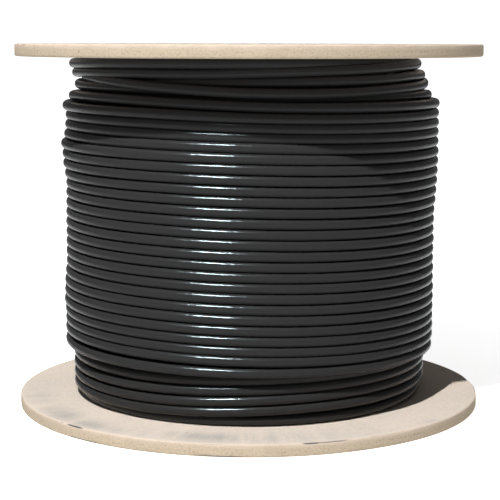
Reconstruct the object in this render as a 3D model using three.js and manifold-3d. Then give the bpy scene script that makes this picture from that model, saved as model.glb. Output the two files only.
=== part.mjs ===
// A full spool of network cable, standing on one flange: two round fibreboard flanges with a
// spindle hole, a fibre tube between them, three tie bolts with their sleeve nuts, and the cable
// wound on the tube. Millimetres, +Z up, origin at the middle of the underside, axis along Z.
import * as THREE from "three";
import { mergeVertices } from "three/addons/utils/BufferGeometryUtils.js";
import Module from "manifold-3d";

const wasm = await Module();
wasm.setup();

// The flanges and the width between them
const FLANGE_DIAMETER = 400;
const FLANGE_THICKNESS = 10.5;
const FLANGE_EASED_EDGE = 1.2; // small chamfer all round the rim
const TRAVERSE = 290; // clear width between the flanges
const SPINDLE_HOLE_DIAMETER = 51; // for a 2 inch shaft

// The fibre tube that the cable is wound on, held in a shallow groove in each flange
const TUBE_OUTER_DIAMETER = 150;
const TUBE_WALL = 5;
const TUBE_SEAT_DEPTH = 2.5;

// The cable and how it is wound
const CABLE_DIAMETER = 8.2;
const TURNS_PER_LAYER = 35;
const LAYERS = 12;
const LAYER_STEP = 7; // each layer sinks a little into the grooves of the one below
const BARE_TURNS_AT_BOTTOM = 5; // turns next to a flange that the last layer leaves uncovered
const BARE_TURNS_AT_TOP = 4;
const TURN_CREST_WIDTH = 3.2; // flat top of one turn's bump
const TURN_GROOVE_DEPTH = 3; // from the crest down to where two turns meet

// The tie bolts and the sleeve nuts, sunk so that nothing stands proud of the flanges
const BOLT_COUNT = 3;
const BOLT_CIRCLE_DIAMETER = 96;
const BOLT_DIAMETER = 8;
const BOLT_HEAD_DIAMETER = 20;
const BOLT_HEAD_FLAT_DIAMETER = 12; // the flat at the crown of the low domed head
const BOLT_HEAD_HEIGHT = 3.4;
const BOLT_HEAD_RIM = 1.2; // straight edge of the head, next to the board
const NUT_PLATE_DIAMETER = 22;
const NUT_PLATE_THICKNESS = 1.6;
const NUT_SLEEVE_DIAMETER = 11;
const NUT_SLEEVE_LENGTH = 8;
const SUNK_BELOW_FACE = 0.4;

const CLEARANCE = 0.3; // between a piece and the piece that holds it
const CUTTER_OVERSHOOT = 1; // how far a cutting rod runs past the face it leaves by
const BOARD_SIDES = 96;
const WINDING_SIDES = 32;
const HARDWARE_SIDES = 24;

// What follows from the driving dimensions
const HEIGHT = TRAVERSE + 2 * FLANGE_THICKNESS;
const LOWER_INNER_FACE = FLANGE_THICKNESS;
const UPPER_INNER_FACE = HEIGHT - FLANGE_THICKNESS;
const FLANGE_RADIUS = FLANGE_DIAMETER / 2;
const SPINDLE_HOLE_RADIUS = SPINDLE_HOLE_DIAMETER / 2;
const TUBE_RADIUS = TUBE_OUTER_DIAMETER / 2;
const TUBE_BORE_RADIUS = TUBE_RADIUS - TUBE_WALL;
// Measured to the corners of the faceted bore, so that its flats still clear the tube
const WINDING_BORE_RADIUS = (TUBE_RADIUS + CLEARANCE) / Math.cos(Math.PI / WINDING_SIDES);
const TURN_PITCH = TRAVERSE / TURNS_PER_LAYER;

// A closed ring turned about Z from [radius, height] corners, listed anticlockwise in the
// half-plane with the radius to the right and the height up.
function turned(corners, sides) {
  const points = corners.map(([radius, height]) => new THREE.Vector2(radius, height));
  const closed = [...points, points[0].clone()];
  return new THREE.LatheGeometry(closed, sides).rotateX(Math.PI / 2);
}

// A cutting rod along Z between two heights, with room all round for what goes through it.
function cuttingRod(diameter, fromZ, toZ, [x, y]) {
  const radius = diameter / 2 + CLEARANCE;
  const length = toZ - fromZ;
  return new THREE.CylinderGeometry(radius, radius, length, HARDWARE_SIDES)
    .rotateX(Math.PI / 2)
    .translate(x, y, fromZ + length / 2);
}

function toSolid(geometry) {
  const bare = geometry.clone();
  bare.deleteAttribute("normal");
  bare.deleteAttribute("uv");
  const merged = mergeVertices(bare, 1e-4);
  return new wasm.Manifold(
    new wasm.Mesh({
      numProp: 3,
      vertProperties: merged.attributes.position.array,
      triVerts: new Uint32Array(merged.index.array),
    }),
  );
}

function toGeometry(solid) {
  const mesh = solid.getMesh();
  const geometry = new THREE.BufferGeometry();
  geometry.setAttribute("position", new THREE.BufferAttribute(mesh.vertProperties, 3));
  geometry.setIndex(new THREE.BufferAttribute(mesh.triVerts, 1));
  geometry.computeVertexNormals();
  return geometry;
}

function cut(geometry, cutters) {
  const remaining = cutters.reduce(
    (solid, cutter) => solid.subtract(toSolid(cutter)),
    toSolid(geometry),
  );
  return toGeometry(remaining);
}

const boltPlaces = Array.from({ length: BOLT_COUNT }, (_, index) => {
  const angle = Math.PI / 2 + (index * 2 * Math.PI) / BOLT_COUNT;
  const radius = BOLT_CIRCLE_DIAMETER / 2;
  return [radius * Math.cos(angle), radius * Math.sin(angle)];
});

// A flange is a board disc with eased rims, the spindle hole, and a groove on its inner face
// that centres the tube. innerFace is the height of that face, and inward is +1 or -1, the
// way along Z from the board towards the winding.
function flangeBlank(innerFace, inward) {
  const outerFace = innerFace - inward * FLANGE_THICKNESS;
  const ease = FLANGE_EASED_EDGE;
  const grooveFloor = innerFace - inward * (TUBE_SEAT_DEPTH + CLEARANCE);
  const corners = [
    [SPINDLE_HOLE_RADIUS, outerFace],
    [FLANGE_RADIUS - ease, outerFace],
    [FLANGE_RADIUS, outerFace + inward * ease],
    [FLANGE_RADIUS, innerFace - inward * ease],
    [FLANGE_RADIUS - ease, innerFace],
    [TUBE_RADIUS + CLEARANCE, innerFace],
    [TUBE_RADIUS + CLEARANCE, grooveFloor],
    [TUBE_BORE_RADIUS - CLEARANCE, grooveFloor],
    [TUBE_BORE_RADIUS - CLEARANCE, innerFace],
    [SPINDLE_HOLE_RADIUS, innerFace],
  ];
  return turned(inward > 0 ? corners : corners.reverse(), BOARD_SIDES);
}

// The lower flange takes the bolt heads from below, in counterbores.
const HEAD_SEAT = SUNK_BELOW_FACE + BOLT_HEAD_HEIGHT;
function lowerFlange() {
  const underside = -CUTTER_OVERSHOOT;
  const cutters = boltPlaces.flatMap((place) => [
    cuttingRod(BOLT_DIAMETER, underside, LOWER_INNER_FACE + CUTTER_OVERSHOOT, place),
    cuttingRod(BOLT_HEAD_DIAMETER, underside, HEAD_SEAT + CLEARANCE, place),
  ]);
  return cut(flangeBlank(LOWER_INNER_FACE, 1), cutters);
}

// The upper flange takes the sleeve nuts from above.
const NUT_PLATE_TOP = HEIGHT - SUNK_BELOW_FACE;
const NUT_SEAT = NUT_PLATE_TOP - NUT_PLATE_THICKNESS;
function upperFlange() {
  const above = HEIGHT + CUTTER_OVERSHOOT;
  const cutters = boltPlaces.flatMap((place) => [
    cuttingRod(NUT_SLEEVE_DIAMETER, UPPER_INNER_FACE - CUTTER_OVERSHOOT, above, place),
    cuttingRod(NUT_PLATE_DIAMETER, NUT_SEAT - CLEARANCE, above, place),
  ]);
  return cut(flangeBlank(UPPER_INNER_FACE, -1), cutters);
}

// The tube reaches into both grooves.
function fibreTube() {
  const foot = LOWER_INNER_FACE - TUBE_SEAT_DEPTH;
  const head = UPPER_INNER_FACE + TUBE_SEAT_DEPTH;
  const corners = [
    [TUBE_BORE_RADIUS, foot],
    [TUBE_RADIUS, foot],
    [TUBE_RADIUS, head],
    [TUBE_BORE_RADIUS, head],
  ];
  return turned(corners, BOARD_SIDES);
}

// Low domed head below, shank up through both flanges to just under the top face.
function tieBolt(place) {
  const crown = HEAD_SEAT - BOLT_HEAD_HEIGHT;
  const shankRadius = BOLT_DIAMETER / 2;
  const corners = [
    [0, crown],
    [BOLT_HEAD_FLAT_DIAMETER / 2, crown],
    [BOLT_HEAD_DIAMETER / 2, HEAD_SEAT - BOLT_HEAD_RIM],
    [BOLT_HEAD_DIAMETER / 2, HEAD_SEAT],
    [shankRadius, HEAD_SEAT],
    [shankRadius, NUT_PLATE_TOP],
    [0, NUT_PLATE_TOP],
  ];
  return turned(corners, HARDWARE_SIDES).translate(place[0], place[1], 0);
}

// A round plate with a sleeve below it, bored for the bolt.
function sleeveNut(place) {
  const boreRadius = BOLT_DIAMETER / 2 + CLEARANCE;
  const sleeveFoot = NUT_PLATE_TOP - NUT_SLEEVE_LENGTH;
  const corners = [
    [boreRadius, sleeveFoot],
    [NUT_SLEEVE_DIAMETER / 2, sleeveFoot],
    [NUT_SLEEVE_DIAMETER / 2, NUT_SEAT],
    [NUT_PLATE_DIAMETER / 2, NUT_SEAT],
    [NUT_PLATE_DIAMETER / 2, NUT_PLATE_TOP],
    [boreRadius, NUT_PLATE_TOP],
  ];
  return turned(corners, HARDWARE_SIDES).translate(place[0], place[1], 0);
}

// Next to the flanges the last layer is missing, so the layer below it shows.
function layersUnder(turn) {
  const bare =
    turn < BARE_TURNS_AT_BOTTOM || turn >= TURNS_PER_LAYER - BARE_TURNS_AT_TOP;
  return bare ? LAYERS - 1 : LAYERS;
}

// Middle of the cable in one layer, counted from 0 at the tube.
function layerRadius(layer) {
  return TUBE_RADIUS + CABLE_DIAMETER / 2 + layer * LAYER_STEP;
}

function crestRadius(turn) {
  return layerRadius(layersUnder(turn) - 1) + CABLE_DIAMETER / 2;
}

// One end of the winding, from the bore outwards: a ring for each layer, with a groove between
// neighbours. inward is +1 or -1, the way along Z from this end into the winding.
function endRings(face, inward, layerCount) {
  const grooveHeight = face + inward * TURN_GROOVE_DEPTH;
  const corners = [[WINDING_BORE_RADIUS, grooveHeight]];
  for (let layer = 0; layer < layerCount; layer += 1) {
    corners.push([layerRadius(layer), face]);
    corners.push([layerRadius(layer) + LAYER_STEP / 2, grooveHeight]);
  }
  return corners.slice(0, -1);
}

// The winding is one turned solid with its bore. Each turn is a bump with a flat crest, and
// neighbours meet in a groove.
function cableWinding() {
  const foot = LOWER_INNER_FACE + CLEARANCE;
  const head = UPPER_INNER_FACE - CLEARANCE;
  const lastTurn = TURNS_PER_LAYER - 1;
  const side = [];
  for (let turn = 0; turn < TURNS_PER_LAYER; turn += 1) {
    const middle = LOWER_INNER_FACE + (turn + 0.5) * TURN_PITCH;
    const crest = crestRadius(turn);
    if (turn > 0) {
      const lower = Math.min(crest, crestRadius(turn - 1));
      side.push([lower - TURN_GROOVE_DEPTH, middle - TURN_PITCH / 2]);
    }
    side.push([crest, middle - TURN_CREST_WIDTH / 2]);
    side.push([crest, middle + TURN_CREST_WIDTH / 2]);
  }
  const corners = [
    ...endRings(foot, 1, layersUnder(0)),
    ...side,
    ...endRings(head, -1, layersUnder(lastTurn)).reverse(),
  ];
  return turned(corners, WINDING_SIDES);
}

const board = new THREE.MeshStandardMaterial({ color: 0xcdb796, roughness: 0.85, metalness: 0 });
const fibre = new THREE.MeshStandardMaterial({ color: 0x9a7b55, roughness: 0.9, metalness: 0 });
const jacket = new THREE.MeshStandardMaterial({ color: 0x26272a, roughness: 0.3, metalness: 0 });
const zinc = new THREE.MeshStandardMaterial({ color: 0xb4b6b8, roughness: 0.4, metalness: 1 });

function piece(name, geometry, material) {
  const mesh = new THREE.Mesh(geometry, material);
  mesh.name = name;
  return mesh;
}

const spool = new THREE.Group();
spool.add(
  piece("lower_flange", lowerFlange(), board),
  piece("upper_flange", upperFlange(), board),
  piece("fibre_tube", fibreTube(), fibre),
  piece("cable_winding", cableWinding(), jacket),
);
boltPlaces.forEach((place, index) => {
  spool.add(
    piece(`tie_bolt_${index + 1}`, tieBolt(place), zinc),
    piece(`sleeve_nut_${index + 1}`, sleeveNut(place), zinc),
  );
});

export default spool;
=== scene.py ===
# %% [markdown]
# # A network cable spool
# A spool is two pressed-fibreboard discs clamped to a paper tube by three bolts, with one very
# long cable laid on the tube row by row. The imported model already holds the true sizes. Here
# each surface that shows is made again in fine detail, in the same place, and gets its finish.

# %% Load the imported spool
import math
import bmesh
import bpy
import numpy as np
from mathutils import Matrix, Vector


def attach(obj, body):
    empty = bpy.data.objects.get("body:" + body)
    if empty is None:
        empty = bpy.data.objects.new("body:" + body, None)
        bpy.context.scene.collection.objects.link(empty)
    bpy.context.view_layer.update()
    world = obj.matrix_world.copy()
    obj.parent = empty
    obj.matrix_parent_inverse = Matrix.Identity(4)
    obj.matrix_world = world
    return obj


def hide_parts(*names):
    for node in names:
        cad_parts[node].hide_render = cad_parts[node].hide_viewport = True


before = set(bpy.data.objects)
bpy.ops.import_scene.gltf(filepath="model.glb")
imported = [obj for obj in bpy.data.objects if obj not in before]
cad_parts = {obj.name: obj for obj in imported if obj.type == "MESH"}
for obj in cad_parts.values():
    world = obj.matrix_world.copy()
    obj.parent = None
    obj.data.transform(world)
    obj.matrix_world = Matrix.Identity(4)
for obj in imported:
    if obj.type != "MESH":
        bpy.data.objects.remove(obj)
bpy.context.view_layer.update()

print("nodes:", ", ".join(sorted(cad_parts)))

# %% Sizes of the spool, in mm
MM = 0.001                      # the scene itself is in metres
DISC, BOARD = 200.0, 10.5       # radius and thickness of a disc
UPPER_BOARD = 300.5             # height of the upper disc's underside
SPINDLE, EASED = 25.5, 1.5      # radius of the spindle hole, and of the eased edge
CABLE, ROW = 8.2, 8.29          # width over the jacket, and from row to row
LAYER_STEP = 7.2                # a layer sinks into the grooves of the layer below
BORE = 76.0                     # radius at which the winding starts, just off the tube
BOLT_CIRCLE, BOLT_ANGLES = 48.0, (90.0, 210.0, 330.0)

# %% [markdown]
# ## The camera
# A long lens far away flattens the spool's ellipses, and a short one near by opens them. The
# outlines of both discs fix the distance, the height and the lens together, so the three numbers
# below belong to each other. The camera looks down by almost eight degrees.

# %% Set the camera
EYE = Vector((0.0, -1.3134, 0.3145))
YAW, PITCH, ROLL = (math.radians(a) for a in (0.05, 7.93, 0.104))
ahead = Vector((math.sin(YAW) * math.cos(PITCH), math.cos(YAW) * math.cos(PITCH), -math.sin(PITCH)))
level_right = Vector((math.cos(YAW), -math.sin(YAW), 0.0))
level_up = level_right.cross(ahead)
right = math.cos(ROLL) * level_right + math.sin(ROLL) * level_up
up = right.cross(ahead)
lens = bpy.data.cameras.new("camera_front")
lens.sensor_width, lens.lens, lens.clip_end = 36.0, 108.74, 100.0
camera = bpy.data.objects.new("camera_front", lens)
camera.matrix_world = Matrix.Translation(EYE) @ Matrix((right, up, -ahead)).transposed().to_4x4()
bpy.context.scene.collection.objects.link(camera)
bpy.context.scene.camera = camera
print("camera at", tuple(EYE), "lens", lens.lens)

# %% [markdown]
# ## Grids of points
# Every new piece is a sheet of points with rows and columns. A disc, a bolt and a cable are all
# such sheets: only the formula for a point changes. One helper turns a sheet into a mesh, so the
# pieces below are short. It joins the last row or column to the first where the sheet closes on
# itself, and puts a lid on an open end.

# %% From a sheet of points to a mesh
def sheet_faces(rows, columns, rows_close, columns_close):
    """Corner numbers of all quads: point (i, j), then (i, j + 1), (i + 1, j + 1) and (i + 1, j)."""
    i, j = np.meshgrid(np.arange(rows - (not rows_close)), np.arange(columns - (not columns_close)),
                       indexing="ij")
    i, j = i.ravel(), j.ravel()
    i2, j2 = (i + 1) % rows, (j + 1) % columns
    corners = np.stack([i * columns + j, i * columns + j2, i2 * columns + j2, i2 * columns + j], 1)
    return corners, i, j


def make_piece(name, sheet, rows_close=False, columns_close=True, run=None, capped=False):
    """A mesh object through sheet[i, j] (metres). run = (length along rows, length along columns)
    gives each corner its place on the unrolled sheet, in metres, as the UV map named unrolled.
    The sum of a . (b x c) over the faces is six times the volume, so its sign tells whether the
    faces point inwards, and then they are turned round. capped puts a lid on both open ends."""
    rows, columns = sheet.shape[:2]
    quads, i, j = sheet_faces(rows, columns, rows_close, columns_close)
    points = sheet.reshape(-1, 3)
    a, b, c, d = (points[quads[:, k]] for k in range(4))
    volume = (np.einsum("ij,ij->i", a, np.cross(b, c))
              + np.einsum("ij,ij->i", a, np.cross(c, d))).sum()
    corner_i = np.stack([i, i, i + 1, i + 1], 1)
    corner_j = np.stack([j, j + 1, j + 1, j], 1)
    if volume < 0:
        quads, corner_i, corner_j = quads[:, ::-1], corner_i[:, ::-1], corner_j[:, ::-1]
    lids = []
    if capped:
        first, last = np.arange(columns), np.arange(columns) + (rows - 1) * columns
        lids = [first, last[::-1]] if volume < 0 else [first[::-1], last]
    loops = np.concatenate([quads.ravel()] + lids).astype(np.int32)
    starts = np.concatenate([np.arange(len(quads)) * 4,
                             4 * len(quads) + np.arange(len(lids)) * columns])
    mesh = bpy.data.meshes.new(name)
    mesh.vertices.add(len(points))
    mesh.vertices.foreach_set("co", points.astype(np.float32).ravel())
    mesh.loops.add(len(loops))
    mesh.loops.foreach_set("vertex_index", loops)
    mesh.polygons.add(len(starts))
    mesh.polygons.foreach_set("loop_start", starts.astype(np.int32))
    if run is not None:
        uv = np.zeros((len(loops), 2), np.float32)
        along, across = run
        uv[:quads.size, 0] = np.asarray(along)[corner_i.ravel()]
        uv[:quads.size, 1] = np.asarray(across)[corner_j.ravel()]
        mesh.uv_layers.new(name="unrolled").data.foreach_set("uv", uv.ravel())
    mesh.update(calc_edges=True)
    mesh.validate()
    piece = bpy.data.objects.new(name, mesh)
    bpy.context.scene.collection.objects.link(piece)
    return piece


def smooth_below(piece, degrees):
    """Shades the piece smooth and keeps an edge sharp where its faces meet at more than degrees."""
    piece.data.shade_smooth()
    piece.data.set_sharp_from_angle(angle=math.radians(degrees))


def lengths_of(path):
    """Distance along a path from its first point to each point."""
    return np.concatenate([[0.0], np.cumsum(np.linalg.norm(np.diff(path, axis=0), axis=1))])


# %% [markdown]
# ## Numbers between given numbers
# The cable's height is known at a few places in each turn. A cubic between neighbours joins them.
# A plain cubic swings past a step, and a cable can't dip into its neighbour, so the slope at each
# given place is a mean of both sides that is zero at a peak. The curve then never overshoots.

# %% A curve that never overshoots
def easy_curve(at, given_at, given):
    """At each given place the slope is the harmonic mean of the chord slopes on both sides, or
    zero where they differ in sign. Between two places: the cubic with those ends and slopes."""
    given_at, given = np.asarray(given_at, float), np.asarray(given, float)
    h = np.diff(given_at)
    chord = np.diff(given) / h
    same = chord[:-1] * chord[1:] > 0
    w1, w2 = 2 * h[1:] + h[:-1], h[1:] + 2 * h[:-1]
    inner = np.zeros(len(same))
    inner[same] = ((w1 + w2)[same]) / (w1[same] / chord[:-1][same] + w2[same] / chord[1:][same])
    slope = np.concatenate([[chord[0]], inner, [chord[-1]]])
    k = np.clip(np.searchsorted(given_at, at) - 1, 0, len(h) - 1)
    s = (at - given_at[k]) / h[k]
    return ((1 + 2 * s) * (1 - s) ** 2 * given[k] + s * (1 - s) ** 2 * h[k] * slope[k]
            + s * s * (3 - 2 * s) * given[k + 1] + s * s * (s - 1) * h[k] * slope[k + 1])


def slow_wave(at, spacing, size, seed):
    """Random heights of at most size at every spacing, joined by the curve above."""
    places = np.arange(at.min() - spacing, at.max() + 2 * spacing, spacing)
    return easy_curve(at, places, np.random.default_rng(seed).uniform(-size, size, len(places)))


# %% [markdown]
# ## The path of the cable
# The last two layers show. The lower one climbs like a right-handed screw, the last one comes down
# again, and near the top the cable turns back over itself, so a few turns cross there. The cable
# is one continuous path: turns are counted from the foot of the lower layer, and a turn begins at
# the right. Half a turn later it is at the left, and at three quarters it passes the front. A row
# keeps level at the back and steps to its next place in front, as on a machine-wound spool.

# %% Where the layers lie
LAST_TURN, LAST_ROWS = 39, 24     # first turn of the last layer's even rows, and their number
# height and outer radius of the last layer at the left and at the right, where they show
LEFT_SIDE = np.array([
    (0, 160.4), (57, 160.4), (76, 160.1), (93, 160.8), (109, 160.4), (126, 158.9),
    (176, 158.6), (192.7, 158.1), (201, 159.0), (209.3, 160.5), (217.6, 160.9), (226, 162.2),
    (234, 159.4), (242.6, 158.5), (251, 158.0), (259.3, 160.3), (300, 159.0)])
RIGHT_SIDE = np.array([
    (0, 161.0), (57, 161.0), (90, 161.5), (130, 161.2), (165, 161.2), (190, 163.0),
    (215, 163.8), (252, 163.7), (300, 164.0)])


def last_layer_radius(height, angle):
    """Outer radius of the last layer, in mm: the mean of the left and the right radius plus half
    their difference times the cosine of the angle."""
    left, right = easy_curve(height, *LEFT_SIDE.T), easy_curve(height, *RIGHT_SIDE.T)
    return (left + right) / 2 + (right - left) / 2 * np.cos(angle)


def stepped_turns(first_turn, lefts, rights, centre, width):
    """Heights at places round several turns. In front each goes from its left to its right
    height as a tanh of (angle less centre) over width, and round the back it goes evenly to the
    next left. One turn is counted from the right, so the front is three quarters of a turn on."""
    angle = np.linspace(-90, 90, 13)[:-1]      # twelve places in front, and four at the back
    centre, width = (np.broadcast_to(v, lefts.shape)[:, None] for v in (centre, width))
    s = np.tanh((angle - centre) / width)
    lo, hi = np.tanh((-90 - centre) / width), np.tanh((90 - centre) / width)
    s = (s - lo) / (hi - lo)
    front = lefts[:, None] + (rights - lefts)[:, None] * s
    back = rights[:-1, None] + (lefts[1:] - rights[:-1])[:, None] * np.linspace(0, 1, 5)[:-1]
    turn = first_turn + np.arange(len(lefts))
    front_at = turn[:, None] + 0.75 + angle / 360
    back_at = turn[:-1, None] + 1.0 + np.linspace(0, 0.5, 5)[:-1]
    at = np.concatenate([front_at.ravel(), back_at.ravel()])
    height = np.concatenate([front.ravel(), back.ravel()])
    order = np.argsort(at)
    return at[order], height[order]


# %% The climbing layer
# its first rows find their places on the board, and from then on the rows are even
under_left = np.concatenate([[14.6, 20.1, 28.3, 37.5, 46.7, 55.5],
                             47.6 + ROW * np.arange(2, 26)])
under_right = np.concatenate([[16.5, 25.5, 34.2, 42.3, 49.6],
                              50.6 + ROW * np.arange(1, 26)])
under_at, under_height = stepped_turns(0, under_left, under_right, -8.0, 28.0)
under_radius = last_layer_radius(under_height, 2 * np.pi * under_at) - LAYER_STEP
# turn, height and outer radius where the cable comes out from below
foot = np.array([[0.0, 14.6, 143.2], [0.5, 14.6, 148.4], [0.75, 15.4, 149.6], [1.0, 16.5, 151.0]])
keep = under_at > 1.2
print("climbing layer: %d places, up to %.1f mm" % (keep.sum(), under_height[-1]))

# %% [markdown]
# ## The turns that cross at the top
# Here no formula helps, because the winder's hand or guide lets a few turns run over others. Each
# entry gives a turn, an angle from the front in degrees, the height of the cable's middle and the
# outer radius it reaches there. Where two turns cross, their radii differ by about one cable.

# %% Places of the crossing turns
CROSSING = [
    (30, -90, 263.1, 142.0), (30, 0, 264.6, 141.0), (30, 90, 266.6, 143.0),
    (31, -90, 271.4, 139.0), (31, 0, 273.0, 135.5), (31, 90, 275.0, 138.5),
    (32, -90, 279.5, 139.5), (32, -45, 280.6, 144.0), (32, -24, 281.2, 146.5),
    (32, 0, 281.5, 148.0), (32, 18, 282.2, 149.5), (32, 28, 282.6, 150.5),
    (32, 40, 283.1, 151.0), (32, 52, 283.9, 151.4), (32, 62, 285.0, 151.5),
    (32, 90, 285.4, 151.2),
    (33, -90, 286.7, 151.9), (33, -64, 287.9, 151.6), (33, -43, 288.1, 151.2),
    (33, -19, 287.9, 150.6), (33, 0, 289.0, 150.2), (33, 18, 290.1, 149.8),
    (33, 40, 291.3, 149.4), (33, 62, 293.0, 148.8), (33, 90, 294.8, 148.1),
    (34, -90, 294.6, 154.4), (34, -64, 295.2, 154.2), (34, -43, 296.0, 153.8),
    (34, 0, 296.3, 151.0), (34, 40, 296.3, 145.0), (34, 90, 295.5, 141.0),
    (35, -90, 284.5, 143.0), (35, -64, 283.0, 146.8), (35, -53, 281.9, 149.6),
    (35, -43, 280.3, 152.0), (35, -33, 278.5, 153.4), (35, -24, 276.9, 154.0),
    (35, -14, 275.4, 154.6), (35, 0, 273.7, 155.0), (35, 9, 273.3, 155.0),
    (35, 18, 273.1, 155.0), (35, 28, 273.4, 155.1), (35, 40, 274.4, 155.2),
    (35, 52, 275.5, 155.0), (35, 77, 277.4, 154.2), (35, 90, 278.7, 153.8),
    (36, -90, 277.3, 149.8), (36, -64, 276.8, 149.4), (36, -43, 276.2, 148.6),
    (36, -24, 275.2, 147.6), (36, 0, 275.4, 145.0), (36, 40, 277.5, 143.5),
    (36, 90, 279.0, 145.6),
    (37, -90, 268.5, 147.0), (37, -30, 268.0, 148.5), (37, 0, 268.0, 149.5),
    (37, 28, 268.0, 151.0), (37, 40, 268.3, 152.6), (37, 62, 268.8, 155.6),
    (37, 77, 269.0, 157.0), (37, 90, 267.8, 157.6),
    (38, -90, 267.2, 155.0), (38, -64, 268.3, 155.6), (38, -43, 267.7, 156.4),
    (38, -24, 266.0, 157.2), (38, -14, 265.0, 157.6), (38, 0, 263.5, 158.2),
    (38, 9, 262.8, 158.8), (38, 18, 262.3, 159.6), (38, 40, 261.9, 161.6),
    (38, 62, 261.8, 163.2), (38, 90, 261.1, 164.0),
]
crossing = np.array(CROSSING)
crossing_at = crossing[:, 0] + 0.75 + crossing[:, 1] / 360
print("crossing turns: %d places" % len(crossing))

# %% The last layer and the whole path
row = np.arange(LAST_ROWS + 1)
last_left = easy_curve(row, [0, 2, 8, 14, 20, 22, 23, 24],
                       [259.0, 243.0, 193.1, 142.5, 92.2, 75.8, 67.8, 57.4])
last_right = np.append(last_left[:-1] - 6.0, 53.9)
early = np.exp(-(row / 1.6) ** 2)     # the first rows step sooner and more steeply
last_at, last_height = stepped_turns(LAST_TURN, last_left, last_right,
                                     4.3 - 14.3 * early, 41 - 13 * early)
last_radius = last_layer_radius(last_height, 2 * np.pi * last_at)
# turn, height and outer radius where the end is tucked in at the back
tail = np.array([[64.0, 53.3, 159.8], [64.12, 54.6, 158.0],
                 [64.24, 57.5, 154.5], [64.36, 60.5, 151.5]])
given_at = np.concatenate(
    [foot[:, 0], under_at[keep], crossing_at, last_at, tail[:, 0]])
given_height = np.concatenate(
    [foot[:, 1], under_height[keep], crossing[:, 2], last_height, tail[:, 1]])
given_radius = np.concatenate(
    [foot[:, 2], under_radius[keep], crossing[:, 3], last_radius, tail[:, 2]])


def cable_path(turns):
    """Middle of the cable in mm at each number of turns, with the small unevenness of hand and
    machine: a slow random wave in height and one in radius."""
    height = (easy_curve(turns, given_at, given_height)
              + slow_wave(turns, spacing=0.137, size=0.13, seed=5))
    radius = (easy_curve(turns, given_at, given_radius) - CABLE / 2
              + slow_wave(turns, spacing=0.171, size=0.22, seed=9))
    height = np.clip(height, BOARD + CABLE / 2, UPPER_BOARD - CABLE / 2)
    angle = 2 * np.pi * turns
    return np.stack([radius * np.cos(angle), radius * np.sin(angle), height], 1)


END_OF_CABLE = given_at[-1]
metres = lengths_of(cable_path(np.linspace(0, END_OF_CABLE, 9000)))[-1] * MM
print("two layers: %.1f turns, %.1f m of cable" % (END_OF_CABLE, metres))

# %% [markdown]
# ## The cable itself
# A curve with a round bevel would give a cable too, but its seam and its map can't be chosen. Here
# a circle is carried along the path: at each place the two directions across the cable span the
# circle. The seam of the map lies on the inner side, where nobody sees it. The two layers are two
# meshes so that each stays light, and they meet face to face under the crossing turns.

# %% Carry a circle along the path
PRESSED = 0.92        # power of cosine and sine: below 1 the corners of the section fill up
MAP_SHIFT = 40.0      # mm of map for each turn before the piece, so that no two places look alike


def cable_sheet(start, stop, steps_a_turn, sides):
    """Point (i, j) is the path at i plus the cable's radius times (cosine of j times the outward
    direction plus sine of j times the direction square to it and to the path). Cosine and sine are
    raised to a power below 1, which fills the corners as neighbours press the jacket."""
    turns = np.linspace(start, stop, int(round((stop - start) * steps_a_turn)) + 1)
    middle = cable_path(turns)
    travel = np.gradient(middle, axis=0)
    travel /= np.linalg.norm(travel, axis=1)[:, None]
    outward = middle * np.array([1.0, 1.0, 0.0])
    outward -= travel * np.einsum("ij,ij->i", outward, travel)[:, None]
    outward /= np.linalg.norm(outward, axis=1)[:, None]
    across = np.cross(travel, outward)
    around = np.pi + 2 * np.pi * np.arange(sides) / sides
    pressed_out, pressed_across = (np.sign(f) * np.abs(f) ** PRESSED
                                   for f in (np.cos(around), np.sin(around)))
    ring = (pressed_out[None, :, None] * outward[:, None]
            + pressed_across[None, :, None] * across[:, None])
    along = (lengths_of(middle) + MAP_SHIFT * start) * MM
    girth = np.pi * CABLE * np.arange(sides + 1) / sides * MM
    return (middle[:, None] + CABLE / 2 * ring) * MM, along, girth


# %% Lay the two layers
PARTED = 32.0         # the turn where one mesh ends and the other begins
# name, first and last turn, steps in a turn, sides of the section
LAYERS = [("cable_layer_below", 0.0, PARTED, 112, 16),
          ("cable_last_layer", PARTED, END_OF_CABLE, 144, 20)]
cable_pieces = []
for name, start, stop, steps, sides in LAYERS:
    points, along, girth = cable_sheet(start, stop, steps, sides)
    piece = make_piece(name, points, run=(along, girth), capped=True)
    smooth_below(piece, 60)
    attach(piece, "root")
    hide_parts("cable_winding")
    cable_pieces.append(piece)
    print(name, len(piece.data.polygons) * 2, "triangles")

# %% [markdown]
# ## The layers inside
# Ten more layers lie below and can't be seen. They are one turned body with the bore that the
# tube fills. Its outline has a bump for each turn on its side and rings for the layers on its
# ends, so it is still a winding if the outer layers are taken off.

# %% Turn an outline round the axis
def turned_sheet(outline, sides):
    """Row i is the outline (radius, height in mm) turned to angle i: x = radius times cosine,
    y = radius times sine."""
    angle = 2 * np.pi * np.arange(sides) / sides
    radius, height = np.asarray(outline, float).T
    x, y = np.cos(angle)[:, None] * radius, np.sin(angle)[:, None] * radius
    return np.stack([x, y, np.broadcast_to(height, x.shape)], 2) * MM


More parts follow.
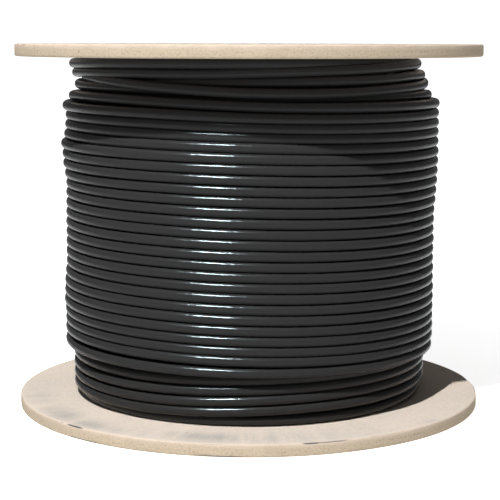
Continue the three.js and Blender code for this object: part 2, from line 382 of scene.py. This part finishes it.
# %% Make the inner layers
ROWS, RINGS, POINTS = 33, 6, 6      # bumps on the side, rings on an end, points for each
LOW_END, HIGH_END = 11.0, 300.0     # heights of the ends, just off the boards
turn_phase = np.linspace(0, ROWS, ROWS * POINTS + 1)
side_height = 12.5 + turn_phase * ROW
side_radius = np.where(side_height > 250, 125.0, 136.5)   # less where the crossing turns dip in
side_radius = side_radius + 1.6 * np.abs(np.sin(np.pi * turn_phase))
ring_phase = np.linspace(0, RINGS, RINGS * POINTS + 1)
end_radius = BORE + 1.0 + ring_phase * 8.1
ring_dip = 1.5 * (1 - np.abs(np.sin(np.pi * ring_phase)))
lower_end = np.stack([end_radius, LOW_END + ring_dip], 1)
upper_end = np.stack([end_radius, HIGH_END - ring_dip], 1)[::-1]
inner_outline = np.concatenate([lower_end, np.stack([side_radius, side_height], 1), upper_end])
inner_sides = 180
inner_layers = make_piece("winding_inner_layers", turned_sheet(inner_outline, inner_sides),
                          rows_close=True, run=(np.linspace(0, 0.85, inner_sides + 1),
                                                np.linspace(0, 0.6, len(inner_outline) + 1)))
smooth_below(inner_layers, 50)
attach(inner_layers, "root")
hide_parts("cable_winding")
cable_pieces.append(inner_layers)

# %% [markdown]
# ## The two discs
# The discs are sawn from pressed fibreboard. The saw leaves a fibrous tan edge, a router eases it,
# and knocks break small flakes out where face and edge meet. The outline below goes once round the
# board's section, and the sheet goes once round the spool, so bore, faces and edge are one skin.
# Flakes change the shape of the eased corner, and the finishes paint them near black: painted shade
# in the chips, and along the lower disc's foot a painted contact shadow. Dirt and specks are only
# written down at each point of the skin, as a number from 0 to 1, and the finishes read that number
# later.

# %% The section of a board
GROOVE_IN, GROOVE_OUT, GROOVE_FLOOR = 69.7, 75.3, 7.7     # the ring groove for the tube


def eased(radius, height, start):
    """A quarter circle of the eased edge, centre (radius, height), from the angle start."""
    a = np.radians(start + np.linspace(0, 90, 5))
    return np.stack([radius + EASED * np.cos(a), height + EASED * np.sin(a)], 1)


face_rings = [30, 38, 44, 58, GROOVE_IN]
outer_rings = [GROOVE_OUT, 90, 110, 130, 142, 150, 156, 162, 168, 174, 180, 185, 190, 194, 197]
plain = [(r, 0.0) for r in [27] + face_rings + outer_rings]
edge = [(DISC, z) for z in (2.6, 4.2, 5.8, 7.4)]
grooved = ([(r, BOARD) for r in outer_rings[::-1]]
           + [(GROOVE_OUT, GROOVE_FLOOR), (GROOVE_IN, GROOVE_FLOOR)]
           + [(r, BOARD) for r in face_rings[::-1] + [27]])
bore = [(26.1, BOARD - 0.2), (SPINDLE, BOARD - 1.0), (SPINDLE, 5.2), (SPINDLE, 1.0), (26.1, 0.2)]
section = np.concatenate([plain, eased(DISC - EASED, EASED, -90), edge,
                          eased(DISC - EASED, BOARD - EASED, 0), grooved, bore])
print("section of %d points" % len(section))


# %% Flakes and dirt
FLAKE_FROM, FLAKE_FADE = 1.15, 0.35     # mm from the corner where a flake begins, and its slope
FLAKE_DEEP, FLAKE_IN = 0.45, 0.35       # mm that a whole flake lowers and narrows the corner
SPECK_HALF = 1.1                        # half the height of a speck on the edge, in mm


def turned_from(angle, at):
    """Degrees from the angle at, between -180 and 180."""
    return (angle - at + 180) % 360 - 180


def soft_patch(angle, reach, at, half_width, at_reach, half_depth):
    """1 at a place on the board, falling off as a bell in angle (degrees) and in reach (mm), which
    is the radius on a face and the height on the edge."""
    return np.exp(-(turned_from(angle, at) / half_width) ** 2
                  - ((reach - at_reach) / half_depth) ** 2)


def flake(angle, at, half_width):
    """Near 1 along a stretch of edge and 0 beyond it, with steep ends."""
    return np.exp(-(turned_from(angle, at) / half_width) ** 4)


def make_board(name, inner_up, dirt, top_flakes, low_flakes, specks=()):
    """One disc: the section turned round the axis, with its corner pushed in where a flake is
    missing. dirt lists (strength, angle, half width, radius, half depth), flakes list (angle, half
    width, depth from 0 to 1), and specks, which only darken the edge, list (angle, height, half
    width, strength). Angles are in degrees from the front and grow to the right."""
    sides = 720
    outline = section.copy() if inner_up else section * [1, -1] + [0, BOARD]
    sheet = turned_sheet(outline, sides)
    radius = np.broadcast_to(outline[:, 0], sheet.shape[:2])
    height = np.broadcast_to(outline[:, 1], sheet.shape[:2])
    angle = np.degrees(np.arctan2(sheet[..., 0], -sheet[..., 1]))
    corner = np.clip((radius - (DISC - FLAKE_FROM)) / FLAKE_FADE, 0, 1)
    near_top = corner * np.clip((height - (BOARD - FLAKE_FROM)) / FLAKE_FADE, 0, 1)
    near_low = corner * np.clip((FLAKE_FROM - height) / FLAKE_FADE, 0, 1)
    top_missing = near_top * sum(depth * flake(angle, at, w) for at, w, depth in top_flakes)
    low_missing = near_low * sum(depth * flake(angle, at, w) for at, w, depth in low_flakes)
    notch = top_missing + low_missing
    sheet[..., 2] += (low_missing - top_missing) * FLAKE_DEEP * MM
    sheet[..., :2] *= (1 - FLAKE_IN * notch / radius)[..., None]
    sheet[..., 2] += (0 if inner_up else UPPER_BOARD) * MM
    run = (np.linspace(0, 2 * np.pi * DISC * MM, sides + 1),
           lengths_of(np.concatenate([outline, outline[:1]])) * MM)
    board = make_piece(name, sheet, rows_close=True, run=run)
    soil = sum(size * soft_patch(angle, radius, *where) for size, *where in dirt)
    on_edge = radius > DISC - 0.01
    for at, middle, half_width, size in specks:
        notch = notch + size * on_edge * soft_patch(
            angle, height, at, half_width, middle, SPECK_HALF)
    # the chips' depth and the specks are written as one mark; the finishes paint it near black,
    # painted shade in the chips
    for label, values in (("soil", soil), ("chip_shade_and_specks", notch)):
        spot = board.data.attributes.new(label, "FLOAT", "POINT")
        spot.data.foreach_set("value", np.clip(values, 0, 1).astype(np.float32).ravel())
    return board


# %% Make both discs
LOWER_DIRT = [(0.75, -52, 14, 186, 13), (0.55, -38, 9, 190, 9), (0.35, -76, 12, 186, 12),
              (0.45, -12, 16, 180, 12), (0.6, 2, 26, 182, 18), (0.5, 49, 3, 195, 4),
              (0.3, 150, 20, 180, 15), (0.4, -140, 16, 185, 14)]
LOWER_FLAKES = [(-48.6, 1.0, 0.5), (-43.8, 3.0, 1.0), (-8.0, 4.0, 0.45), (13.5, 1.8, 0.9),
                (18.5, 4.5, 0.7), (32, 9.0, 0.45), (97, 3.0, 0.9), (171, 4.0, 0.8),
                (-121, 3.0, 0.8)]
# chips along the lower disc's foot, painted near black: a painted contact shadow along the foot
LOWER_FOOT = [(-41, 6.0, 0.8), (-6, 6.5, 0.8), (27, 6.0, 0.5), (140, 8.0, 0.7)]
UPPER_DIRT = [(0.5, -30, 18, 120, 40), (0.45, 60, 22, 150, 30), (0.6, 170, 25, 100, 40)]
UPPER_FLAKES = [(-66, 2.5, 0.5), (35, 2.0, 0.5), (150, 4.0, 0.8), (-150, 5.0, 0.8)]
UPPER_FOOT = [(80, 4.0, 0.5)]
UPPER_SPECKS = [(-49.2, 4.2, 0.4, 0.75), (-40.5, 4.2, 0.4, 0.75), (-0.5, 5.8, 2.2, 0.42),
                (39.5, 5.8, 1.2, 0.45), (42.5, 4.2, 1.4, 0.42), (118, 5.8, 0.4, 0.7),
                (-150, 4.2, 2.0, 0.4)]
lower_board = make_board("lower_flange_board", True, LOWER_DIRT, LOWER_FLAKES, LOWER_FOOT)
upper_board = make_board("upper_flange_board", False, UPPER_DIRT, UPPER_FLAKES, UPPER_FOOT,
                         UPPER_SPECKS)
print("board triangles:", 2 * len(lower_board.data.polygons))

# %% [markdown]
# ## Bolt holes
# A hole with a wider mouth is drilled for each bolt, so head and nut lie just below the face. The
# hole is cut with a Boolean modifier, and the result is kept as the piece's own mesh, because the
# cutter must not stay in the scene.

# %% Drill the boards
BOLT_PLACES = [BOLT_CIRCLE * np.array([math.cos(math.radians(a)), math.sin(math.radians(a)), 0.0])
               for a in BOLT_ANGLES]
# the outlines cut away, as (radius, height): seat and hole for the head, hole and seat for the nut
HEAD_HOLE = [(0, -2), (10.3, -2), (10.3, 4.1), (4.3, 4.1), (4.3, 12), (0, 12)]
NUT_HOLE = [(0, 299), (5.8, 299), (5.8, 308.7), (11.3, 308.7), (11.3, 313), (0, 313)]


def close_poles(piece):
    """Merges the points that meet on the axis, so that the skin is closed there."""
    work = bmesh.new()
    work.from_mesh(piece.data)
    bmesh.ops.remove_doubles(work, verts=work.verts, dist=1e-6)
    bmesh.ops.dissolve_degenerate(work, dist=1e-7, edges=work.edges)
    bmesh.ops.recalc_face_normals(work, faces=work.faces)
    work.to_mesh(piece.data)
    work.free()


def drill(board, outline):
    """Cuts the turned outline out of the board at each bolt's place."""
    for place in BOLT_PLACES:
        rod = turned_sheet(outline, 48) + place * MM
        cutter = make_piece("drill", rod, rows_close=True, columns_close=False)
        close_poles(cutter)
        cut = board.modifiers.new("hole", "BOOLEAN")
        cut.operation, cut.solver, cut.object = "DIFFERENCE", "EXACT", cutter
        shown = board.evaluated_get(bpy.context.evaluated_depsgraph_get())
        drilled = bpy.data.meshes.new_from_object(shown)
        board.modifiers.clear()
        old, board.data = board.data, drilled
        bpy.data.meshes.remove(old)
        bpy.data.objects.remove(cutter)
    board.data.name = board.name


drill(lower_board, HEAD_HOLE)
drill(upper_board, NUT_HOLE)
for board, node in ((lower_board, "lower_flange"), (upper_board, "upper_flange")):
    smooth_below(board, 40)
    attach(board, "root")
    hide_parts(node)
    print(board.name, len(board.data.polygons), "faces after drilling")

# %% [markdown]
# ## Bolts and nuts
# The bolts are ordinary truss heads with a hexagon recess and a rolled thread at the far end. The
# nuts are tee nuts: a round plate with three notches, where the prongs were bent out, and a sleeve.
# A thread is one formula on a sheet: the radius falls and rises with the height, and the wave
# climbs by one pitch in each turn. Modelling it as a swept ridge would take far more faces.

# %% Shape a tie bolt and its nut
THREAD = 1.25         # height of one turn of the thread, in mm


def thread_wave(angle, height):
    """A wave of straight lines, 1 to 0 and back to 1 once in each turn of the thread: it depends
    on the height over the thread's climb less the turns gone round."""
    return np.abs(((height / THREAD - angle / (2 * np.pi)) % 1) * 2 - 1)


def sheet_of_rings(angle, rings):
    """Point (i, j) lies at angle i on ring j, which is its radius at each angle and its height."""
    radius = np.array([r for r, _ in rings]).T
    height = np.broadcast_to([z for _, z in rings], radius.shape)
    return np.stack([np.cos(angle)[:, None] * radius, np.sin(angle)[:, None] * radius, height], 2)


def bolt_sheet(sides=36):
    """Radius at angle and height. Recess: half the width across flats over the cosine of the angle
    from the nearest flat. Head: an arc. Shank: 4 mm, less the thread's wave at its end."""
    angle = 2 * np.pi * np.arange(sides) / sides
    flat = (angle + np.pi / 6) % (np.pi / 3) - np.pi / 6
    hexagon = 2.5 / np.cos(flat)
    one = np.ones(sides)
    rings = [(0 * one, 2.4), (hexagon, 2.4), (hexagon, 0.75), (hexagon * 1.12, 0.4)]
    for a in np.radians(np.linspace(0, 90, 6)):
        rings.append(((6.0 + 4.0 * math.sin(a)) * one, 3.0 - 2.6 * math.cos(a)))
    rings += [(10.0 * one, 3.5), (9.7 * one, 3.8), (4.4 * one, 3.8), (4.0 * one, 4.2)]
    rings += [(4.0 * one, z) for z in (40.0, 120.0, 200.0, 294.0)]
    for z in np.arange(294.6, 309.7, 0.22):
        rings.append((4.0 - 0.68 * thread_wave(angle, z), z))
    rings += [(3.3 * one, 310.1), (2.7 * one, 310.6), (0 * one, 310.6)]
    return sheet_of_rings(angle, rings)


def nut_sheet(sides=72):
    """Plate: radius 11 less three notches. Sleeve: 5.5 outside. Bore: 4.3 plus the thread's
    wave."""
    angle = 2 * np.pi * np.arange(sides) / sides
    third = (angle + np.pi / 3) % (2 * np.pi / 3) - np.pi / 3
    rim = 11.0 - 2.4 * np.exp(-(third / 0.17) ** 4)
    one = np.ones(sides)
    rings = [(5.5 * one, 302.6), (5.5 * one, 308.6), (5.9 * one, 309.0), (rim - 0.3, 309.0),
             (rim, 309.3), (rim, 310.2), (rim - 0.45, 310.6), (5.3 * one, 310.6),
             (4.8 * one, 310.3)]
    for z in np.arange(310.0, 302.9, -0.24):
        rings.append((4.3 + 0.35 * thread_wave(angle, z), z))
    rings += [(4.7 * one, 302.6)]
    return sheet_of_rings(angle, rings)


# %% Place the bolts and nuts
steel_pieces = []
for number, place in enumerate(BOLT_PLACES, 1):
    bolt = make_piece("tie_bolt_%d_turned" % number, (bolt_sheet() + place) * MM,
                      rows_close=True, columns_close=False)
    close_poles(bolt)
    nut = make_piece("sleeve_nut_%d_pressed" % number, (nut_sheet() + place) * MM,
                     rows_close=True)
    for piece, node in ((bolt, "tie_bolt_%d" % number), (nut, "sleeve_nut_%d" % number)):
        smooth_below(piece, 38)
        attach(piece, "root")
        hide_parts(node)
        steel_pieces.append(piece)
print("steel pieces:", len(steel_pieces))

# %% [markdown]
# ## Finishes from nodes
# A finish is a shader with a small net of nodes in front of it. Short helpers keep the nets
# readable: add makes a node and joins its inputs, and the others are one kind of node each. A
# value that is the same everywhere stays on the shader's own socket.

# %% Helpers for the nets
def start_finish(name, **constant):
    """A new material and its shader, with the constant values set on the shader's sockets."""
    material = bpy.data.materials.new(name)
    material.use_nodes = True
    shader = material.node_tree.nodes["Principled BSDF"]
    for socket, value in constant.items():
        shader.inputs[socket.replace("_", " ")].default_value = value
    return material, shader


def add(material, kind, inputs=None, **settings):
    """Adds a node. Each input is a number, a colour, or another node's output to join."""
    node = material.node_tree.nodes.new("ShaderNode" + kind)
    for key, value in settings.items():
        setattr(node, key, value)
    for key, value in (inputs or {}).items():
        if isinstance(value, bpy.types.NodeSocket):
            material.node_tree.links.new(value, node.inputs[key])
        else:
            node.inputs[key].default_value = value
    return node


def blend(material, share, first, second):
    """The first colour where share is 0, the second where it is 1."""
    node = add(material, "Mix", {0: share, 6: first, 7: second}, data_type="RGBA")
    return node.outputs[2]


def level(material, value, low, high, out_low=0.0, out_high=1.0):
    """Stretches value from low..high to out_low..out_high and cuts it off outside."""
    return add(material, "MapRange", {"Value": value, "From Min": low, "From Max": high,
                                      "To Min": out_low, "To Max": out_high}).outputs["Result"]


def noise(material, where, scale, detail=3.0, rough=0.55):
    """Soft random spots; scale is spots per metre."""
    return add(material, "TexNoise", {"Vector": where, "Scale": scale, "Detail": detail,
                                      "Roughness": rough}).outputs["Fac"]


def stretched(material, where, amounts):
    """The same pattern, squeezed by amounts in its three directions."""
    return add(material, "Mapping", {"Vector": where, "Scale": amounts}).outputs["Vector"]


def maths(material, operation, *values):
    """One step of arithmetic with numbers or other nodes' outputs."""
    return add(material, "Math", dict(enumerate(values)), operation=operation).outputs[0]


def upward(material, vector):
    """The third number of a place or a direction."""
    return add(material, "SeparateXYZ", {0: vector}).outputs["Z"]


def feed(shader, socket, output):
    """Joins another node's output to one of the shader's sockets."""
    shader.id_data.links.new(output, shader.inputs[socket])


def rub(material, shader, height, strength, distance):
    """Gives the shader a fine relief."""
    bump = add(material, "Bump", {"Height": height, "Strength": strength, "Distance": distance})
    feed(shader, "Normal", bump.outputs["Normal"])


# %% [markdown]
# ## The jacket
# The jacket is extruded black plastic, smooth but never quite even. A light makes a short bright
# dash on each turn, ragged at its ends, so the relief must be long and shallow along the cable and
# the gloss slightly uneven. The pattern follows the cable's own map. The jacket is plain: no
# lettering is shown on it.

# %% Make the jacket's finish
JACKET, JACKET_DUSTY = (0.0265, 0.0263, 0.0265, 1), (0.034, 0.0338, 0.034, 1)
JACKET_DULL = (0.029, 0.0285, 0.0288, 1)
jacket, shader = start_finish("cable_jacket", IOR=1.2, Roughness=0.2)
place = add(jacket, "UVMap", uv_map="unrolled").outputs["UV"]
dull = noise(jacket, stretched(jacket, place, (0.25, 1.0, 1.0)), 90.0, 4.0)
dust = noise(jacket, place, 700.0, 4.0, 0.7)
colour = blend(jacket, level(jacket, dust, 0.35, 0.8), JACKET, JACKET_DUSTY)
colour = blend(jacket, level(jacket, dull, 0.3, 0.75), colour, JACKET_DULL)
feed(shader, "Base Color", colour)
feed(shader, "Roughness", level(jacket, dull, 0.3, 0.7, 0.15, 0.22))
wavy = noise(jacket, stretched(jacket, place, (0.7, 1.0, 1.0)), 130.0, 2.0)
rub(jacket, shader, wavy, 1.0, 0.0004)
for piece in cable_pieces:
    piece.data.materials.append(jacket)
print("jacket:", len(jacket.node_tree.nodes), "nodes")

# %% [markdown]
# ## The board's faces
# The press leaves a smooth, matte skin on both faces, greyish beige with the grey of dragged cables
# and handling on it. The dirt lies in soft patches, broken up by noise, and in streaks that run
# outward from the middle, because that is how a cable is pulled off. For the streaks the noise is
# squeezed along the turned map. The upper disc is painted darker, as painted shade, and the height
# tells the two discs apart, so both share one finish.

# %% Make the faces' finish
UPPER_FROM, UPPER_TO = 0.1, 0.2      # metres: below is the lower disc, above is the upper disc
SKIN, SKIN_CLOUDED = (0.725, 0.612, 0.508, 1), (0.64, 0.553, 0.475, 1)
FIBRE_PALE, FIBRE_DARK = (0.67, 0.62, 0.56, 1), (0.36, 0.31, 0.27, 1)
# the first colour on the next line darkens the upper disc's faces: painted shade
SKIN_UPPER_SHADE, GRIME = (0.42, 0.37, 0.32, 1), (0.335, 0.315, 0.30, 1)
# painted shade: near black in the chips; the real dark specks take the same colour
CHIP_SHADE_AND_SPECK = (0.10, 0.095, 0.095, 1)     # where a flake or a bit of skin has come off
face, shader = start_finish("fibreboard_face", IOR=1.45, Specular_IOR_Level=0.1)
place = add(face, "TexCoord").outputs["Object"]
rolled = add(face, "UVMap", uv_map="unrolled").outputs["UV"]
soil = add(face, "Attribute", attribute_name="soil").outputs["Fac"]
chip_shade_and_specks = add(face, "Attribute", attribute_name="chip_shade_and_specks").outputs["Fac"]
clouds = noise(face, place, 14.0, 5.0, 0.6)
fibres = noise(face, place, 300.0, 5.0, 0.8)
streaks = noise(face, stretched(face, rolled, (1.0, 0.12, 1.0)), 60.0, 4.0, 0.65)
upper = level(face, upward(face, place), UPPER_FROM, UPPER_TO)
colour = blend(face, level(face, clouds, 0.35, 0.65), SKIN, SKIN_CLOUDED)
colour = blend(face, level(face, fibres, 0.44, 0.70, 0.0, 0.75), colour, FIBRE_PALE)
colour = blend(face, level(face, fibres, 0.46, 0.30, 0.0, 0.55), colour, FIBRE_DARK)
# painted shade: the upper disc's faces are darkened
colour = blend(face, maths(face, "MULTIPLY", upper, 0.36), colour, SKIN_UPPER_SHADE)
grime = maths(face, "MULTIPLY", soil, level(face, streaks, 0.3, 0.62))
colour = blend(face, level(face, grime, 0.0, 1.0, 0.0, 0.8), colour, GRIME)
# painted shade: the chips near black
colour = blend(face, level(face, chip_shade_and_specks, 0.25, 0.6), colour, CHIP_SHADE_AND_SPECK)
feed(shader, "Base Color", colour)
feed(shader, "Roughness", level(face, fibres, 0.3, 0.7, 0.78, 0.92))
rub(face, shader, fibres, 0.35, 0.0004)

# %% [markdown]
# ## The sawn edge
# The edge shows the board's inside: pressed fibres in tan, with fine dark and light specks and
# faint lines along the saw's way. Near each board's upper side the edge is sanded paler, and the
# eased corners take on the colour of the faces. The upper disc's edge is painted darker, as painted
# shade.

# %% Make the edge's finish
SAWN, SAWN_CLOUDED = (0.605, 0.487, 0.352, 1), (0.53, 0.427, 0.305, 1)
# the second colour on the next line darkens the upper disc's edge: painted shade
SAW_LINE, SAWN_UPPER_SHADE = (0.70, 0.58, 0.44, 1), (0.36, 0.30, 0.225, 1)
SPECK_DARK, SPECK_PALE = (0.30, 0.23, 0.16, 1), (0.76, 0.66, 0.53, 1)
CORNER, SANDED = (0.70, 0.60, 0.53, 1), (0.67, 0.54, 0.44, 1)
SANDED_FROM, SANDED_TO = 0.0058, 0.0082    # metres above a board's underside
sawn, shader = start_finish("fibreboard_edge", Roughness=0.85, IOR=1.4, Specular_IOR_Level=0.15)
coordinates = add(sawn, "TexCoord").outputs
rolled = add(sawn, "UVMap", uv_map="unrolled").outputs["UV"]
chip_shade_and_specks = add(sawn, "Attribute", attribute_name="chip_shade_and_specks").outputs["Fac"]
soft = noise(sawn, rolled, 45.0, 5.0, 0.6)
specks = noise(sawn, rolled, 520.0, 4.0, 0.7)
lines = noise(sawn, stretched(sawn, rolled, (0.1, 1.0, 1.0)), 700.0, 3.0, 0.6)
height = upward(sawn, coordinates["Object"])
facing = upward(sawn, coordinates["Normal"])
above = maths(sawn, "MODULO", height, UPPER_BOARD * MM)     # height above the board's underside
sanded = maths(sawn, "MULTIPLY", level(sawn, above, SANDED_FROM, SANDED_TO),
               level(sawn, soft, 0.7, 0.4, 0.2, 0.7))
colour = blend(sawn, level(sawn, soft, 0.32, 0.68), SAWN, SAWN_CLOUDED)
colour = blend(sawn, level(sawn, lines, 0.4, 0.7, 0.0, 0.35), colour, SAW_LINE)
colour = blend(sawn, level(sawn, specks, 0.47, 0.30, 0.0, 0.85), colour, SPECK_DARK)
colour = blend(sawn, level(sawn, specks, 0.56, 0.72, 0.0, 0.7), colour, SPECK_PALE)
colour = blend(sawn, level(sawn, facing, 0.3, 0.85, 0.0, 0.6), colour, CORNER)
# painted shade: the upper disc's edge is darkened
colour = blend(sawn, level(sawn, height, UPPER_FROM, UPPER_TO, 0.0, 0.3), colour, SAWN_UPPER_SHADE)
colour = blend(sawn, sanded, colour, SANDED)
# painted shade: the chips near black, with the real dark specks
colour = blend(sawn, level(sawn, chip_shade_and_specks, 0.3, 0.7), colour, CHIP_SHADE_AND_SPECK)
feed(shader, "Base Color", colour)
rub(sawn, shader, specks, 0.5, 0.0006)

# %% Give the boards their two finishes
FLAT = 0.93           # a face whose normal rises more steeply than this is flat
for board in (lower_board, upper_board):
    board.data.materials.clear()
    board.data.materials.append(face)
    board.data.materials.append(sawn)
    count = len(board.data.polygons)
    normal = np.empty(count * 3, np.float32)
    board.data.polygons.foreach_get("normal", normal)
    is_edge = np.abs(normal.reshape(-1, 3)[:, 2]) < FLAT
    board.data.polygons.foreach_set("material_index", is_edge.astype(np.int32))
    print(board.name, int(is_edge.sum()), "edge faces of", count)

# %% [markdown]
# ## Steel and paper
# The zinc on bolts and nuts is dull and faintly blotched. The tube is wound from brown paper
# strips, and each strip leaves a fine screw line. The angle round the axis and the height give that
# line: the height plus the pitch times the turns, over the pitch, cut to its fraction.

# %% Make the steel's finish
ZINC_DARK, ZINC_BRIGHT = (0.52, 0.53, 0.55, 1), (0.68, 0.68, 0.66, 1)
zinc, shader = start_finish("zinc_plated_steel", Metallic=1.0, Roughness=0.4)
place = add(zinc, "TexCoord").outputs["Object"]
blotch = noise(zinc, place, 260.0, 4.0, 0.6)
feed(shader, "Base Color", blend(zinc, level(zinc, blotch, 0.3, 0.7), ZINC_DARK, ZINC_BRIGHT))
feed(shader, "Roughness", level(zinc, blotch, 0.3, 0.7, 0.3, 0.5))
rub(zinc, shader, noise(zinc, place, 1500.0, 2.0), 0.25, 0.0001)
for piece in steel_pieces:
    piece.data.materials.append(zinc)

# %% Make the paper's finish
STRIP = 0.11          # metres that a paper strip climbs in one turn
PAPER, PAPER_PALE, SEAM = (0.30, 0.195, 0.11, 1), (0.39, 0.27, 0.165, 1), (0.11, 0.07, 0.04, 1)
paper, shader = start_finish("wound_paper", Roughness=0.85, IOR=1.4)
place = add(paper, "TexCoord").outputs["Object"]
axis = add(paper, "SeparateXYZ", {0: place}).outputs
turned = maths(paper, "ARCTAN2", axis["Y"], axis["X"])
climb = maths(paper, "MULTIPLY_ADD", turned, STRIP / (2 * math.pi), axis["Z"])
strip = maths(paper, "FRACT", maths(paper, "DIVIDE", climb, STRIP))
pulp = noise(paper, place, 380.0, 5.0, 0.7)
colour = blend(paper, level(paper, pulp, 0.3, 0.7), PAPER, PAPER_PALE)
feed(shader, "Base Color", blend(paper, level(paper, strip, 0.985, 1.0), colour, SEAM))
rub(paper, shader, pulp, 0.3, 0.0003)
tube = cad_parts["fibre_tube"]
if tube.material_slots:
    for slot in tube.material_slots:
        slot.material = paper
else:
    tube.data.materials.append(paper)
print("tube slots:", len(tube.material_slots))

# %% [markdown]
# ## Floor and light
# The floor runs far out and curves up, and it is nearly white, so it shows only where the spool's
# soft shadow falls. One lamp stands high on the left in front. Its place decides where the upper
# disc's shadow ends on the winding, and it is small, so that this shadow's end is crisp. A wide
# sheet of light stands close by, a little further to the left, and only shows as the dashes on the
# jacket. A pale floor in full light sends much light up again, which fills the lower half of each
# black row. That light is set in the sky's lower half, where it is even, and the floor itself
# takes no part in it.

# %% Make the floor
def floor_outline(flat=5.0, rise=2.5):
    """From the middle outwards along the floor, then a quarter circle up, in metres."""
    a = np.linspace(0, np.pi / 2, 12)
    bend = np.stack([flat + rise * np.sin(a), rise - rise * np.cos(a)], 1)
    return np.concatenate([[(0.0, 0.0), (1.0, 0.0), (3.0, 0.0)], bend, [(flat + rise, 5.0)]])


FLOOR_GAP = 0.0006    # metres below the spool, so that the two faces never fight
floor = make_piece("studio_floor", turned_sheet(floor_outline() / MM, 96) - [0, 0, FLOOR_GAP],
                   rows_close=True, columns_close=False)
floor.data.shade_smooth()
white, shader = start_finish("pale_floor", Base_Color=(0.9, 0.9, 0.9, 1), Roughness=0.9,
                             Emission_Color=(1, 1, 1, 1))
away = add(white, "VectorMath", {0: add(white, "TexCoord").outputs["Object"]}, operation="LENGTH")
feed(shader, "Emission Strength", level(white, away.outputs["Value"], 0.22, 0.75, 0.82, 1.0))
floor.data.materials.append(white)
floor.visible_diffuse = floor.visible_glossy = floor.visible_shadow = False

# %% Set the lamps and the sky
def lamp_at(name, azimuth, elevation, distance, size, power, colour=(1, 1, 1)):
    """A round lamp at an angle from the front (left is negative), aimed at the spool's middle:
    the middle plus the distance times (sine and minus cosine of the azimuth times the cosine of
    the elevation, sine of the elevation)."""
    a, e = math.radians(azimuth), math.radians(elevation)
    aim = Vector((0, 0, 0.16))
    way = Vector((math.sin(a) * math.cos(e), -math.cos(a) * math.cos(e), math.sin(e)))
    place = aim + distance * way
    turn = (aim - place).to_track_quat("-Z", "Y").to_matrix().to_4x4()
    light = bpy.data.lights.new(name, "AREA")
    light.shape, light.size, light.energy, light.color = "DISK", size, power, colour
    lamp = bpy.data.objects.new(name, light)
    lamp.matrix_world = Matrix.Translation(place) @ turn
    bpy.context.scene.collection.objects.link(lamp)
    return lamp


key = lamp_at("key_lamp", azimuth=-20.0, elevation=54.3, distance=3.0, size=0.07, power=116.0)
key.visible_glossy = False
sheen = lamp_at("sheen_lamp", azimuth=-27.0, elevation=54.2, distance=2.4, size=0.68,
                power=420.0, colour=(0.76, 0.95, 1.0))
sheen.data.shape, sheen.data.size_y = "RECTANGLE", 0.36
sheen.visible_diffuse = False
sky = bpy.data.worlds.new("pale_sky")
sky.use_nodes = True
backdrop = sky.node_tree.nodes["Background"]
rise = upward(sky, add(sky, "TexCoord").outputs["Generated"])
feed(backdrop, "Strength", level(sky, rise, -0.26, -0.03, 1.2, 0.12))
backdrop.inputs["Color"].default_value = (0.98, 0.99, 1.0, 1)
bpy.context.scene.world = sky
bpy.context.scene.view_settings.view_transform = "Standard"
